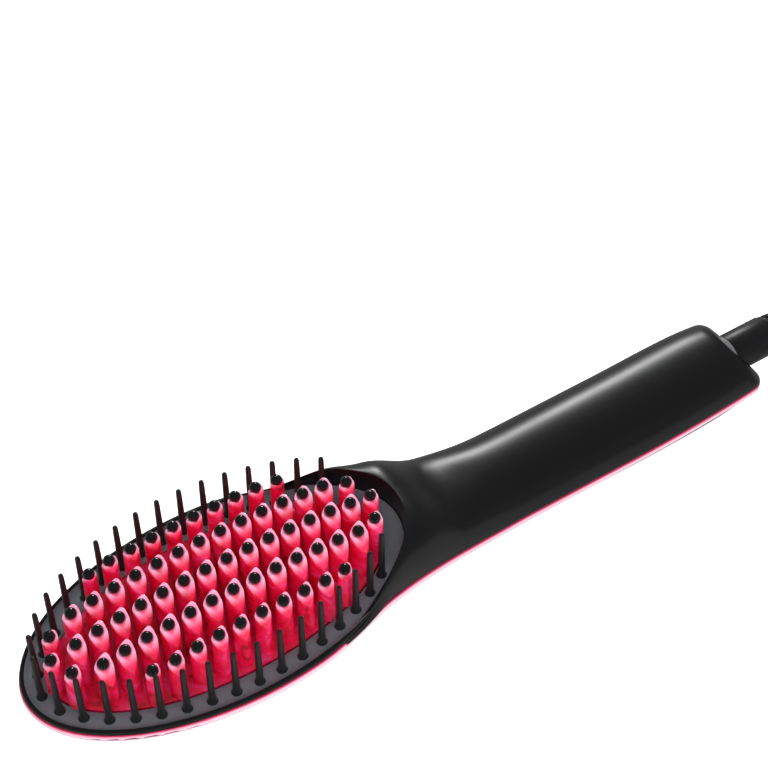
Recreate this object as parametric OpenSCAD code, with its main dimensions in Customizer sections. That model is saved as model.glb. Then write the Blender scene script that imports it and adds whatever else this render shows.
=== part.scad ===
// Hot straightening brush: a paddle head with heated studs inside a ring of
// cool pins, and a handle with a display, three buttons and a swivelling cord.
// It lies on its back. Heights are worked out from the face that carries the
// pins, and lengths from the middle of the head's oval, then moved to the origin.

/* [Head] */
// Length of the head's oval, measured on the seam
head_length = 142.6; // [137:0.2:150]
// Width of the head's oval, measured on the seam
head_width = 76.4; // [72:0.2:81]
// Width of the rim between the seam and the recessed face
rim_width = 1.2; // [1:0.1:1.8]
// How far the casing's lip stands in over the handle end of the oval
lip_inset = 2.6; // [1.6:0.2:4]
// Height of the lip above the recessed face
lip_height = 12.6; // [9:0.2:14]
// Height of the rim above the recessed face
rim_height = 2.6; // [2:0.1:3.2]
// Depth of the body behind the recessed face
body_depth = 28; // [27:0.5:31]

/* [Handle] */
// Distance from the middle of the head to the end of the handle
handle_reach = 220; // [217:1:226]
// Width of the waist behind the head
neck_width = 36.8; // [35:0.2:38]
// Width of the handle at its fullest
grip_width = 37.2; // [36.4:0.2:39]
// Width of the handle at its end, before the corners are rounded
end_width = 33; // [31:0.5:35]
// Height of the grip above the level of the recessed face
grip_rise = 1.2; // [0.6:0.1:2]
// Radius of the corners at the end of the handle
end_round = 5; // [3:0.5:6]

/* [Shells] */
// Wall thickness of both shells
wall = 2; // [1.8:0.1:2.2]
// Thickness of the back shell behind the control panel
back_floor = 3.2; // [2.9:0.1:3.5]
// Height of the trim band round the head
band_head = 3; // [2.6:0.1:3.4]
// Height of the trim band along the handle
band_grip = 3.6; // [3:0.1:4]
// How far the foot of the trim band stands out at the head
band_flare = 0.5; // [0.2:0.1:0.8]
// How far the back shell steps in under the trim band
step_in = 0.8; // [0.6:0.1:1]
// How far the trim band bulges from the shells
band_bulge = 0.3; // [0.2:0.05:0.5]

/* [Pins and studs] */
// Height of the cool pins
pin_height = 22.7; // [20:0.1:24]
// Thickness of a cool pin
pin_d = 2.2; // [1.8:0.1:2.6]
// Number of cool pins on each side of the pin at the head's tip
pins_a_side = 16; // [12:1:16]
// Distance between neighbouring cool pins
pin_pitch = 8.2; // [7.9:0.05:8.3]
// Distance between studs along a row
stud_pitch = 7.8; // [7.6:0.1:8]
// Distance between rows of studs
stud_rows = 11.1; // [10.8:0.1:11.4]
// Width of a leaf-shaped stud under its bead, along the head
stud_w = 6.1; // [5.4:0.1:6.4]
// Length of a leaf-shaped stud, across the head
stud_l = 10.2; // [9:0.1:10.4]
// Height of the lowest bead's middle above the recessed face
bead_low = 10.8; // [9.5:0.1:12]
// Rise of the beads towards the middle of the plate, along it
bead_crown = 6.8; // [5:0.1:7.5]
// Rise of the beads towards the middle of the plate, across it
bead_arch = 5.2; // [4:0.1:5.5]
// Diameter of a bead
bead_d = 4; // [3.6:0.1:4.4]

/* [Heating] */
// Thickness of the heated plate
plate_t = 2.8; // [2.4:0.1:3.2]
// Thickness of the pin frame
frame_t = 2; // [1.8:0.1:2.4]
// Length of a heating element
heater_l = 76; // [70:1:80]
// Width of a heating element
heater_w = 12; // [10:0.5:14]
// Thickness of a heating element
heater_t = 5; // [4.5:0.1:5.5]

/* [Control panel] */
// Length of the control panel
panel_l = 84; // [82:0.5:88]
// Width of the control panel
panel_w = 25; // [24:0.5:26]
// Thickness of the control panel
panel_t = 1.4; // [1.2:0.1:1.6]
// Size of the display along the handle
display_l = 14; // [12:0.5:15]
// Size of the display across the handle
display_w = 18; // [16:0.5:19]
// Width of the pair of plus and minus buttons
pair_w = 20; // [18:0.5:20.5]
// Width of the bar between the plus and minus buttons
divider_w = 2.4; // [2:0.1:3]
// Diameter of the power button
power_d = 16; // [14:0.5:16.5]
// Travel of each button
button_travel = 0.8; // [0.5:0.1:0.9]

/* [Swivel and cord] */
// Diameter of the swivel collar
collar_d = 15.2; // [14:0.2:15.6]
// Length of the plain collar behind the handle
collar_out = 12.8; // [10:0.2:15]
// Length of the strain relief
relief_l = 42; // [36:0.5:48]
// Diameter of the mains cord
cord_d = 5.5; // [5:0.1:5.5]

/* [Hidden] */
$fn = 48;
node_gap = 0.05;

// Lengths along the body, from the middle of the head's oval
head_a = head_length / 2;
head_b = head_width / 2;
join_x = head_a * 0.224;
shoulder_x = head_a * 0.673;
shoulder_half = mix(neck_width / 2, head_b, 0.45);
shoulder_slope = -0.3;
neck_x = head_a + 42;
grip_x = (neck_x + handle_reach) / 2;
heel_x = handle_reach - 24;
collar_end = handle_reach + collar_out;
relief_end = collar_end + relief_l;
mid_x = (relief_end - head_a - band_flare) / 2;
axis_z = -8.75;

// The opening for the pin frame, and the ovals that fit inside it
open_left = head_a - rim_width;
open_right = head_a - lip_inset - rim_width;
open_a = (open_left + open_right) / 2;
open_b = head_b - rim_width;
open_x = (open_right - open_left) / 2;
frame_gap = 0.15;
plate_a = open_a - 7.75;
plate_b = open_b - 9;
plate_x = open_x + 0.3;
plate_gap = 0.5;
plate_top = 0.5;
pin_a = (plate_a + open_a) / 2 - 0.2;
pin_b = (plate_b + open_b) / 2 + 0.2;
pin_power = 1.87;

// Panel places along the handle
panel_x = handle_reach - 80;
display_x = panel_x - panel_l / 2 + 8 + display_l / 2;
power_x = panel_x + panel_l / 2 - 2.5 - power_d / 2;
pair_start = display_x + display_l / 2 + 5.7;
pair_end = power_x - power_d / 2 - 6.8;
pair_l = pair_end - pair_start;
pair_x = (pair_start + pair_end) / 2;
panel_gap = 0.35;
key_gap = 0.3;
key_flange = 1;
pocket_depth = panel_t + 0.1;
led_d = 1.6;
led_y = -(power_d / 2 + 2.2);

// The circuit board and what stands on it
board_t = 1.6;
board_w = 26;
switch_h = 4;
screw_xs = [panel_x - panel_l / 2 + 2.8, pair_end + 3.4];
board_l = panel_l - 8;
board_x = panel_x + 4;
post_d = 5;
post_xs = [display_x + display_l / 2 + 4, power_x + power_d / 2];
post_y = 9.5;
boss_d = 4.6;
screw_d = 2.5;

// Heaters under the plate
strap_x = heater_l / 4;
strap_y = 19.5;
heater_y = heater_w / 2 + 2.5;
strap_t = 1;
under_plate = plate_top - plate_t;
strap_top = under_plate - 0.1 - heater_t;

// Swivel
journal_d = collar_d - 4.4;
bush_d = collar_d + 0.4;
swivel_gap = 0.06;
collar_hole = collar_d + 0.6;
bush_l = 12;
bush_x = handle_reach - 17.5;
flange_t = 2;

function mix(a, b, t) = a + (b - a) * t;
function ease(x, a, b) = let (t = min(max((x - a) / (b - a), 0), 1)) t * t * (3 - 2 * t);
function curve(x, a, b, va, vb, sa, sb) =
    let (t = (x - a) / (b - a), l = b - a)
    (2 * t ^ 3 - 3 * t ^ 2 + 1) * va + (t ^ 3 - 2 * t ^ 2 + t) * l * sa
    + (3 * t ^ 2 - 2 * t ^ 3) * vb + (t ^ 3 - t ^ 2) * l * sb;

// Half width of the body on the seam, without and with the rounded end corners
function oval(x) = head_b * sqrt(max(0, 1 - (x / head_a) ^ 2));
function side(x) =
    x <= join_x ? oval(x)
    : x <= shoulder_x ? curve(x, join_x, shoulder_x, oval(join_x), shoulder_half,
        -head_b ^ 2 * join_x / (head_a ^ 2 * oval(join_x)), shoulder_slope)
    : x <= neck_x ? curve(x, shoulder_x, neck_x, shoulder_half, neck_width / 2, shoulder_slope, 0)
    : x <= grip_x ? curve(x, neck_x, grip_x, neck_width / 2, grip_width / 2, 0, 0)
    : curve(x, grip_x, handle_reach, grip_width / 2, end_width / 2, 0, -0.13);
function corner(x) =
    let (d = x - handle_reach + end_round)
    d <= 0 ? 0 : end_round - sqrt(max(0, end_round ^ 2 - d ^ 2));
function half(x) = side(x) - corner(x);

// Heights along the body
function seam(x) = 0.9 - 12.8 * ease(x, 14, 106) + 1.4 * ease(x, 160, 205);
function band(x) = mix(band_head, band_grip, ease(x, 40, 110));
function flare(x) = band_flare * (1 - ease(x, 50, 95));
lip_x = open_right - 1.5;
function lip_fall(x) = 0.78 * (1 - ease(x, lip_x, lip_x + 21)) + 0.22 * (1 - ease(x, lip_x, lip_x + 59));
function top(x) =
    (x < lip_x ? mix(rim_height, lip_height, ease(x, lip_x - 34, lip_x - 8))
    : mix(grip_rise, lip_height, lip_fall(x)) + ease(x, 165, 212)) - 0.2 * corner(x);
function bottom(x) =
    x <= 5 ? -body_depth - 0.9
    : x <= 95 ? curve(x, 5, 95, -body_depth - 0.9, 3 - body_depth, 0, 0)
    : x <= heel_x ? curve(x, 95, heel_x, 3 - body_depth, -body_depth - 0.2, 0, 0)
    : curve(x, heel_x, handle_reach, -body_depth - 0.2, 8 - body_depth, 0, 0.8);
function roof(x) = mix(1.1, top(x) - wall, ease(x, lip_x + 4, lip_x + 18));
function floor_t(x) =
    mix(wall, back_floor, ease(x, panel_x - 56, panel_x - 46) * (1 - ease(x, panel_x + 46, panel_x + 56)));
function front_power(x) = x < 66 ? mix(7, 3.4, ease(x, 40, 66)) : mix(3.4, 2.15, ease(x, 66, 112));
back_power = 1.55;
function slant(x) = 9 * ease(x, handle_reach - 25, handle_reach);

// Share of the full height at a station and an angle round the section
function across(a, p) = sign(cos(a)) * abs(cos(a)) ^ (2 / p);
function rise(x, c, p) =
    let (e = x < 0 ? x / head_a : 0, r = sqrt(min(1, e ^ 2 + (1 - e ^ 2) * c ^ 2)))
    max(0, 1 - r ^ p) ^ (1 / p);

// Length and width of a skin offset by d from the seam outline
function off_x(x, d) =
    x < 0 ? x * (head_a + d) / head_a
    : x < handle_reach - 20 || d > 0 ? x
    : handle_reach - 20 + (x - handle_reach + 20) * (20 + d) / 20;
function off_y(x, d) = x < 0 ? half(x) * (head_b + d) / head_b : half(x) + d;

function front_skin(x, a, d, high) =
    let (p = front_power(x), c = across(a, p), s = rise(x, c, p), u = off_x(x, d))
    [u - slant(x) * s, off_y(x, d) * c, seam(u) + (high - seam(x)) * s];
// The back bulges down to a flat that lies up above the body's bottom
function back_drop(x) = 4 * ease(x, 70, 110);
function back_skin(x, a, d, up) =
    let (c = across(a, back_power), s = rise(x, c, back_power), u = off_x(x, d),
        deep = seam(x) - band(x) - bottom(x) - up + back_drop(x))
    [u - 3 * s * ease(x, 205, handle_reach), off_y(x, d) * c,
        max(up + max(bottom(x), -body_depth), seam(u) - band(u) - deep * s)];

stations = concat(
    [for (a = [2, 8, 16, 25, 35, 45, 56, 67, 78]) -head_a * cos(a)],
    [0, 12, 22, 32, 40, 46, 51, 55, 59, 62.5, 66, 69, 72, 75, 78, 81, 85, 92],
    [for (k = [0:7]) mix(100, heel_x, k / 7)],
    [for (d = [17, 12, 8, 5, 3, 1.5, 0.5, 0]) handle_reach - d]);
count = len(stations);
around = 18;

function quad(a, b, c, d) = [[a, b, c], [a, c, d]];
function flipped(faces, yes) = yes ? [for (f = faces) [f[0], f[2], f[1]]] : faces;
function two_skins(n, m) =
    let (w = m + 1, k = n * w, e = (n - 1) * w)
    concat(
        [for (i = [0:n - 2], j = [0:m - 1])
            each quad(i * w + j, (i + 1) * w + j, (i + 1) * w + j + 1, i * w + j + 1)],
        [for (i = [0:n - 2], j = [0:m - 1])
            each quad(k + i * w + j, k + i * w + j + 1, k + (i + 1) * w + j + 1, k + (i + 1) * w + j)],
        [for (i = [0:n - 2]) each quad(i * w, k + i * w, k + (i + 1) * w, (i + 1) * w)],
        [for (i = [0:n - 2])
            each quad(k + i * w + m, i * w + m, (i + 1) * w + m, k + (i + 1) * w + m)],
        [for (j = [1:m - 1]) [e, e + j + 1, e + j]],
        [for (j = [1:m - 1]) [k + e, k + e + j, k + e + j + 1]],
        [for (j = [1:m - 1]) [0, j, j + 1]],
        [for (j = [1:m - 1]) [k, k + j + 1, k + j]],
        quad(k + e, k + e + m, e + m, e),
        quad(0, m, k + m, k));

// A closed ring of sections: loops of equal length, joined both ways
function ring_faces(n, m) = [for (i = [0:n - 1], j = [0:m - 1])
    each quad(i * m + j, ((i + 1) % n) * m + j, ((i + 1) % n) * m + (j + 1) % m, i * m + (j + 1) % m)];
function sheet_faces(n, m) =
    let (k = n * m)
    concat(
        [for (i = [0:n - 2], j = [0:m - 2])
            each quad(i * m + j, i * m + j + 1, (i + 1) * m + j + 1, (i + 1) * m + j)],
        [for (i = [0:n - 2], j = [0:m - 2])
            each quad(k + i * m + j, k + (i + 1) * m + j, k + (i + 1) * m + j + 1, k + i * m + j + 1)],
        [for (i = [0:n - 2]) each quad(i * m, (i + 1) * m, k + (i + 1) * m, k + i * m)],
        [for (i = [0:n - 2])
            each quad((i + 1) * m - 1, k + (i + 1) * m - 1, k + (i + 2) * m - 1, (i + 2) * m - 1)],
        [for (j = [0:m - 2]) each quad(j, k + j, k + j + 1, j + 1)],
        [for (j = [0:m - 2])
            each quad((n - 1) * m + j, (n - 1) * m + j + 1, k + (n - 1) * m + j + 1, k + (n - 1) * m + j)]);

// Outlines
function oval_points(a, b, n = 64) = [for (i = [0:n - 1]) [a * cos(i * 360 / n), b * sin(i * 360 / n)]];
function stadium(l, w, n = 10) = concat(
    [for (i = [0:n]) [(l - w) / 2 + w / 2 * cos(i * 180 / n - 90), w / 2 * sin(i * 180 / n - 90)]],
    [for (i = [0:n]) [(w - l) / 2 + w / 2 * cos(i * 180 / n + 90), w / 2 * sin(i * 180 / n + 90)]]);
function half_oval(l, w, edge, n = 16) =
    let (a = acos(edge / (l / 2)))
    [for (i = [0:n]) [l / 2 * cos(mix(-a, a, i / n)), w / 2 * sin(mix(-a, a, i / n))]];

module placed() {
    translate([-mid_x, 0, body_depth]) children();
}
module bar_x(d, l) {
    rotate([0, 90, 0]) cylinder(d = d, h = l);
}

// The thin layer of the back between two depths, where the control panel lies
skin_xs = [for (x = [panel_x - panel_l / 2 - 4:10:panel_x + panel_l / 2 + 8]) x];
module layer(t0, t1) {
    m = 13;
    pts = [for (t = [t0, t1], x = skin_xs, j = [0:m - 1])
        back_skin(x, mix(25, 155, j / (m - 1)), -step_in, 0) + [0, 0, t]];
    polyhedron(points = pts, faces = sheet_faces(len(skin_xs), m), convexity = 4);
}

module front_body() {
    outer = [for (x = stations, j = [0:around]) front_skin(x, j * 180 / around, 0, top(x))];
    inner = [for (x = stations, j = [0:around]) front_skin(x, j * 180 / around, -wall, roof(x))];
    polyhedron(points = concat(outer, inner), faces = two_skins(count, around), convexity = 8);
}
module back_body() {
    outer = [for (x = stations, j = [0:around])
        back_skin(x, j * 180 / around, -step_in, 0)];
    inner = [for (x = stations, j = [0:around])
        back_skin(x, j * 180 / around, -wall - step_in, floor_t(x))];
    polyhedron(points = concat(outer, inner), faces = flipped(two_skins(count, around), true),
        convexity = 8);
}

// ---- shells and trim ----
module collar_hole_tool() {
    translate([handle_reach - 20, 0, axis_z]) bar_x(collar_hole, 40);
}
module front_shell() {
    color("#16171a") placed() difference() {
        union() {
            front_body();
            for (x = screw_xs)
                translate([x, 0, bottom(x) + back_floor + 0.3])
                    cylinder(d = boss_d, h = roof(x) - bottom(x) - back_floor + 0.7);
        }
        translate([open_x, 0, -20]) linear_extrude(60) polygon(oval_points(open_a, open_b, 72));
        collar_hole_tool();
        for (x = screw_xs)
            translate([x, 0, bottom(x) + back_floor]) cylinder(d = screw_d, h = 14);
    }
}
module back_shell() {
    color("#141518") placed() difference() {
        union() {
            back_body();
            for (x = screw_xs) translate([x, 0, bottom(x) + back_floor - 0.8]) cylinder(d = 8, h = 1);
            for (x = post_xs, s = [-1, 1])
                translate([x, s * post_y, bottom(x) + back_floor - 0.6])
                    cylinder(d = post_d, h = board_z - bottom(x) - back_floor + 0.6);
        }
        intersection() {
            layer(-2, pocket_depth);
            translate([panel_x, 0, -body_depth - 5]) linear_extrude(20)
                polygon(stadium(panel_l + 2 * panel_gap, panel_w + 2 * panel_gap));
        }
        translate([display_x, 0, -body_depth - 1]) linear_extrude(8)
            square([display_l - 1, display_w - 1], center = true);
        for (s = [-1, 1])
            translate([pair_x, 0, -body_depth - 1]) linear_extrude(8)
                polygon([for (p = half_oval(pair_l, pair_w, divider_w / 2)) [s * p[0], p[1]]]);
        translate([power_x, 0, -body_depth - 1]) cylinder(d = power_d + 2 * key_gap, h = 8);
        translate([power_x, led_y, -body_depth - 1]) cylinder(d = led_d + 0.6, h = 8);
        for (x = screw_xs) {
            translate([x, 0, bottom(x) - 1]) cylinder(d = 4.6, h = 1 + pocket_depth + 1.1);
            translate([x, 0, bottom(x) - 1]) cylinder(d = screw_d + 0.4, h = 12);
        }
        for (x = post_xs, s = [-1, 1])
            translate([x, s * post_y, board_z - 5.5]) cylinder(d = 2, h = 8);
        collar_hole_tool();
    }
}
band_line = concat(
    [for (i = [count - 1:-1:0]) [stations[i], half(stations[i])]],
    [for (i = [0:count - 1]) [stations[i], -half(stations[i])]]);
function ring_normal(line, i) =
    let (n = len(line), t = line[(i + 1) % n] - line[(i + n - 1) % n]) [t[1], -t[0]] / norm(t);
module trim_band() {
    g = node_gap;
    color("#e9879f") placed() difference() {
        polyhedron(points = [for (i = [0:len(band_line) - 1])
            let (p = band_line[i], u = ring_normal(band_line, i), z = seam(p[0]), h = band(p[0]),
                f = flare(p[0]), b = band_bulge)
            for (q = [[0, -g], [0.3 * f + 0.85 * b, -0.22 * h], [0.6 * f + b, -0.5 * h],
                [0.9 * f + 0.85 * b, -0.78 * h], [f, g - h], [-1.2, 3 * g - h], [-1.2, -g]])
                [p[0] + u[0] * q[0], p[1] + u[1] * q[0], z + q[1]]],
            faces = ring_faces(len(band_line), 7), convexity = 8);
        collar_hole_tool();
    }
}

// ---- head ----
// A closed ring of ovals, each a middle, two half axes and a height
module oval_ring(loops, n = 64) {
    polyhedron(points = [for (i = [0:n - 1], q = loops)
        [q[0] + q[1] * cos(i * 360 / n), q[2] * sin(i * 360 / n), q[3]]],
        faces = ring_faces(n, len(loops)), convexity = 6);
}
function pin_spot(t) =
    [open_x + pin_a * sign(cos(t)) * abs(cos(t)) ^ (2 / pin_power),
        pin_b * sign(sin(t)) * abs(sin(t)) ^ (2 / pin_power)];
function pin_next(t, goal, lo = 0.2, hi = 30, n = 14) =
    n == 0 ? t - (lo + hi) / 2
    : norm(pin_spot(t - (lo + hi) / 2) - goal) < pin_pitch
        ? pin_next(t, goal, (lo + hi) / 2, hi, n - 1) : pin_next(t, goal, lo, (lo + hi) / 2, n - 1);
function pin_turns(t, n) = n == 0 ? [] : let (s = pin_next(t, pin_spot(t))) concat([s], pin_turns(s, n - 1));
pin_angles = pin_turns(180, pins_a_side);
module cool_pin() {
    r = pin_d / 2;
    rotate_extrude($fn = 16) polygon([[0, node_gap], [r + 0.6, node_gap], [r + 0.2, 1.6], [r, 4],
        [r * 0.85, pin_height - 1], [r * 0.5, pin_height - 0.2], [0, pin_height]]);
}
module pin_frame() {
    g = plate_gap;
    oa = open_a - frame_gap;
    ob = open_b - frame_gap;
    f = 0.72;
    color("#3d4145") placed()
        oval_ring([[plate_x, plate_a + g, plate_b + g, 0],
            [mix(plate_x, open_x, f), mix(plate_a + g, oa, f), mix(plate_b + g, ob, f), 0],
            [open_x, oa, ob, 1.6], [open_x, oa, ob, 0.95], [open_x, oa - 1, ob - 1, 0.8],
            [open_x, oa - 1, ob - 1, 0.5 - frame_t], [open_x, oa - 2.2, ob - 2.2, -frame_t],
            [plate_x, plate_a + g + 1.2, plate_b + g + 1.2, -frame_t],
            [plate_x, plate_a + g + 1.2, plate_b + g + 1.2, under_plate - 1.6],
            [plate_x, plate_a - 1.5, plate_b - 1.5, under_plate - 1.6],
            [plate_x, plate_a - 1.5, plate_b - 1.5, under_plate - 0.1],
            [plate_x, plate_a + g, plate_b + g, under_plate - 0.1]]);
}
module cool_pins() {
    color("#33363a") placed() {
        translate([pin_spot(180)[0], 0, 0]) cool_pin();
        for (t = pin_angles, s = [-1, 1])
            translate([pin_spot(t)[0], s * pin_spot(t)[1], 0]) cool_pin();
    }
}

// Places of the studs: five rows and an arc at each end
// The third value is the stud's length as a share of the longest
studs = concat(
    [for (k = [-2:11]) [k, 0, 1]],
    [for (k = [-1:11], s = [-1, 1]) [k - 0.5, s, 1]],
    [for (k = [1:8], s = [-1, 1]) [k, 2 * s, 0.7]],
    [for (k = [0, 9], s = [-1, 1]) [k, 1.93 * s, 0.5]],
    [for (s = [-1, 1]) [-2.7, 0.71 * s, 0.7]], [[-3.15, 0, 0.7]],
    [for (s = [-1, 1]) [11.5, 0.8 * s, 0.7]], [[12, 0, 0.7]]);
stud_start = plate_x - 4.5 * stud_pitch;
function stud_at(q) = [stud_start + q[0] * stud_pitch, q[1] * stud_rows];
function bead_z(p) =
    bead_low + bead_crown * (1 - (p[0] / (plate_a + 2.4)) ^ 2)
    + bead_arch * (1 - (p[1] / (plate_b + 4.1)) ^ 2);
// A leaf outline: t runs from tip to tip, s is the side
leaf_ts = [-1, -0.8, -0.55, -0.2, 0.2, 0.55, 0.8, 1];
function leaf(grow, l) = concat(
    [for (t = leaf_ts) [grow * stud_w / 2 * (1 - t ^ 2), grow * l / 2 * t]],
    [for (i = [6:-1:1]) let (t = leaf_ts[i]) [-grow * stud_w / 2 * (1 - t ^ 2), grow * l / 2 * t]]);
module stud(h, l) {
    low = leaf(1.13, l);
    high = leaf(1, l);
    n = len(low);
    difference() {
        polyhedron(points = concat([for (p = low) [p[0], p[1], 0]],
            [for (p = high) [p[0], p[1], h - 0.7 + 0.06 * p[0] + 0.1 * p[1]]]),
            faces = concat([[for (i = [0:n - 1]) i]], [[for (i = [n - 1:-1:0]) n + i]],
                [for (i = [0:n - 1]) [i, n + i, n + (i + 1) % n, (i + 1) % n]]));
        translate([0, 0, h - bead_d / 2 - 0.05]) cylinder(d = bead_d + 0.1, h = 6, $fn = 24);
    }
}
module heating_plate() {
    color("#c9405f") placed() difference() {
        union() {
            translate([plate_x, 0, under_plate]) linear_extrude(plate_t)
                polygon(oval_points(plate_a, plate_b, 72));
            for (x = [-strap_x, strap_x], s = [-1, 1])
                translate([x, s * strap_y, strap_top]) cylinder(d = 5.6, h = heater_t + 0.4);
        }
        for (x = [-strap_x, strap_x], s = [-1, 1])
            translate([x, s * strap_y, strap_top - 1]) cylinder(d = screw_d, h = heater_t + 0.8);
    }
}
module heating_studs() {
    z = plate_top + node_gap;
    color("#d3486a") placed()
        for (q = studs) let (p = stud_at(q))
            translate([p[0], p[1], z]) stud(bead_z(p) - z, stud_l * q[2]);
}
module tip_beads() {
    color("#0c0c0e") placed()
        for (q = studs) let (p = stud_at(q)) translate([p[0], p[1], bead_z(p)]) sphere(d = bead_d, $fn = 16);
}
module heater_elements() {
    color("#b8a888") placed()
        for (s = [-1, 1]) translate([-heater_l / 2, s * heater_y - heater_w / 2, strap_top])
            cube([heater_l, heater_w, heater_t]);
}
module heater_straps() {
    color("#a9adb2") placed() for (x = [-strap_x, strap_x]) difference() {
        translate([x - 4.5, -strap_y - 4, strap_top - strap_t - 0.05]) cube([9, 2 * strap_y + 8, strap_t]);
        for (s = [-1, 1])
            translate([x, s * strap_y, strap_top - 3]) cylinder(d = screw_d + 0.4, h = 5);
    }
}
module strap_screws() {
    color("#8d9094") placed() for (x = [-strap_x, strap_x], s = [-1, 1])
        translate([x, s * strap_y, strap_top - strap_t - 0.1]) {
            translate([0, 0, -1.5]) cylinder(d = 4.4, h = 1.5);
            cylinder(d = screw_d - 0.1, h = heater_t);
        }
}
module thermistor() {
    color("#d8c9a0") placed() translate([4, 0, under_plate - 1.65]) {
        translate([-3, 0, 0]) bar_x(3, 6);
        translate([-9, 0, 0]) bar_x(1, 6);
    }
}
module thermal_fuse() {
    color("#c7ccd1") placed() translate([22, 0, under_plate - 2.05]) {
        bar_x(3.9, 11);
        translate([-4, 0, 0]) bar_x(1, 4);
        translate([11, 0, 0]) bar_x(1, 5);
    }
}
// A wire of straight pieces with a ball at each bend
module wire(points, d) {
    for (i = [0:len(points) - 2]) let (a = points[i], b = points[i + 1], v = b - a)
        translate(a) rotate([0, acos(v[2] / norm(v)), atan2(v[1], v[0])])
            cylinder(d = d, h = norm(v), $fn = 16);
    if (len(points) > 2) for (i = [1:len(points) - 2]) translate(points[i]) sphere(d = d, $fn = 16);
}
wire_d = 1.6;
module heater_leads() {
    z = strap_top + heater_t / 2 - 0.6;
    color("#d9d4c8") placed() for (s = [-1, 1])
        wire([[heater_l / 2 + 0.02, s * heater_y, z], [board_x - board_l / 2 + 9, s * heater_y, z],
            [board_x - board_l / 2 + 9, s * heater_y, board_z + board_t]], wire_d);
}
module mains_leads() {
    color("#4a5a8a") placed() for (s = [-1, 1])
        wire([[board_x + board_l / 2 - 9, s * 4, board_z + board_t],
            [board_x + board_l / 2 - 9, s * 4, axis_z], [bush_x - 2.6, s * 3, axis_z]], wire_d);
}

// ---- handle: display, buttons and board ----
key_inside = back_floor + 0.8;
board_z = bottom(pair_x) + key_inside + key_flange + button_travel + 0.1 + switch_h;
module control_panel() {
    color("#9a9ea3") placed() difference() {
        intersection() {
            layer(0.05, panel_t);
            translate([panel_x, 0, -body_depth - 5]) linear_extrude(20) polygon(stadium(panel_l, panel_w));
        }
        translate([display_x, 0, -body_depth - 1]) linear_extrude(8)
            square([display_l + 0.2, display_w + 0.2], center = true);
        for (s = [-1, 1])
            translate([pair_x, 0, -body_depth - 1]) linear_extrude(8)
                polygon([for (p = half_oval(pair_l, pair_w, divider_w / 2)) [s * p[0], p[1]]]);
        translate([power_x, 0, -body_depth - 1]) cylinder(d = power_d + 2 * key_gap, h = 8);
        translate([power_x, led_y, -body_depth - 1]) cylinder(d = led_d + 0.1, h = 8);
    }
}
module display_window() {
    color("#0a0d10") placed() intersection() {
        layer(0.1, panel_t);
        translate([display_x, 0, -body_depth - 5]) linear_extrude(20)
            square([display_l, display_w], center = true);
    }
}
module lcd_module() {
    color("#2b3336") placed()
        translate([display_x - display_l / 2 - 1, -display_w / 2 - 1, bottom(display_x) + back_floor + 0.9])
            cube([display_l + 2, display_w + 2, board_z - bottom(display_x) - back_floor - 0.95]);
}
module circuit_board() {
    color("#2f6b45") placed() difference() {
        translate([board_x - board_l / 2, -board_w / 2, board_z]) cube([board_l, board_w, board_t]);
        for (x = post_xs, s = [-1, 1])
            translate([x, s * post_y, board_z - 1]) cylinder(d = 2.4, h = 4);
        for (x = screw_xs) translate([x, 0, board_z - 1]) cylinder(d = boss_d + 0.8, h = 4);
    }
}
key_xs = [pair_x - pair_l / 4, pair_x + pair_l / 4, power_x];
module tact_switches() {
    color("#55595d") placed() for (x = key_xs) {
        translate([x - 3, -3, board_z - switch_h + 0.6]) cube([6, 6, switch_h - 0.65]);
        translate([x, 0, board_z - switch_h]) cylinder(d = 3.4, h = 0.6);
    }
}
module power_relay() {
    color("#e3e0d6") placed() translate([pair_x - 14, -7.5, board_z + board_t + 0.05]) cube([19, 15, 9]);
}
module supply_capacitor() {
    color("#2d3f78") placed() translate([power_x - 3, -7, board_z + board_t + 0.05]) cylinder(d = 7, h = 8);
}
module board_screws() {
    color("#8d9094") placed() for (x = post_xs, s = [-1, 1])
        translate([x, s * post_y, board_z + board_t + 0.05]) {
            cylinder(d = 4, h = 1.4);
            translate([0, 0, -5]) cylinder(d = 1.9, h = 5);
        }
}
module shell_screws() {
    color("#8d9094") placed() for (x = screw_xs) translate([x, 0, bottom(x) + pocket_depth + 0.1]) {
        cylinder(d = 4.4, h = 0.9);
        cylinder(d = screw_d - 0.1, h = 12);
    }
}
module half_key(s) {
    z = bottom(pair_x) + 0.15;
    k = key_gap;
    translate([pair_x, 0, z]) linear_extrude(key_inside + key_flange / 2)
        polygon([for (p = half_oval(pair_l - 2 * k, pair_w - 2 * k, divider_w / 2 + k)) [s * p[0], p[1]]]);
    translate([pair_x, 0, z + key_inside - 0.15]) linear_extrude(key_flange)
        polygon([for (p = half_oval(pair_l + 1.2, pair_w + 1, divider_w / 2 - 0.6)) [s * p[0], p[1]]]);
}
module plus_button() {
    color("#1b1c1f") placed() half_key(-1);
}
module minus_button() {
    color("#1b1c1f") placed() half_key(1);
}
module power_button() {
    z = bottom(power_x) + 0.15;
    color("#1b1c1f") placed() translate([power_x, 0, z]) {
        difference() {
            cylinder(d = power_d, h = key_inside + key_flange / 2);
            translate([0, 0, -0.6]) cylinder(d = power_d - 2.4, h = 0.9);
        }
        translate([0, 0, key_inside - 0.15]) cylinder(d = power_d + 1.8, h = key_flange);
        cylinder(d = 4, h = board_z - switch_h - button_travel - 0.1 - z);
    }
}
module led_lens() {
    color("#dfe8ea") placed() translate([power_x, led_y, bottom(power_x) + 0.4])
        cylinder(d = led_d, h = board_z - bottom(power_x) - 0.45, $fn = 24);
}

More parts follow.
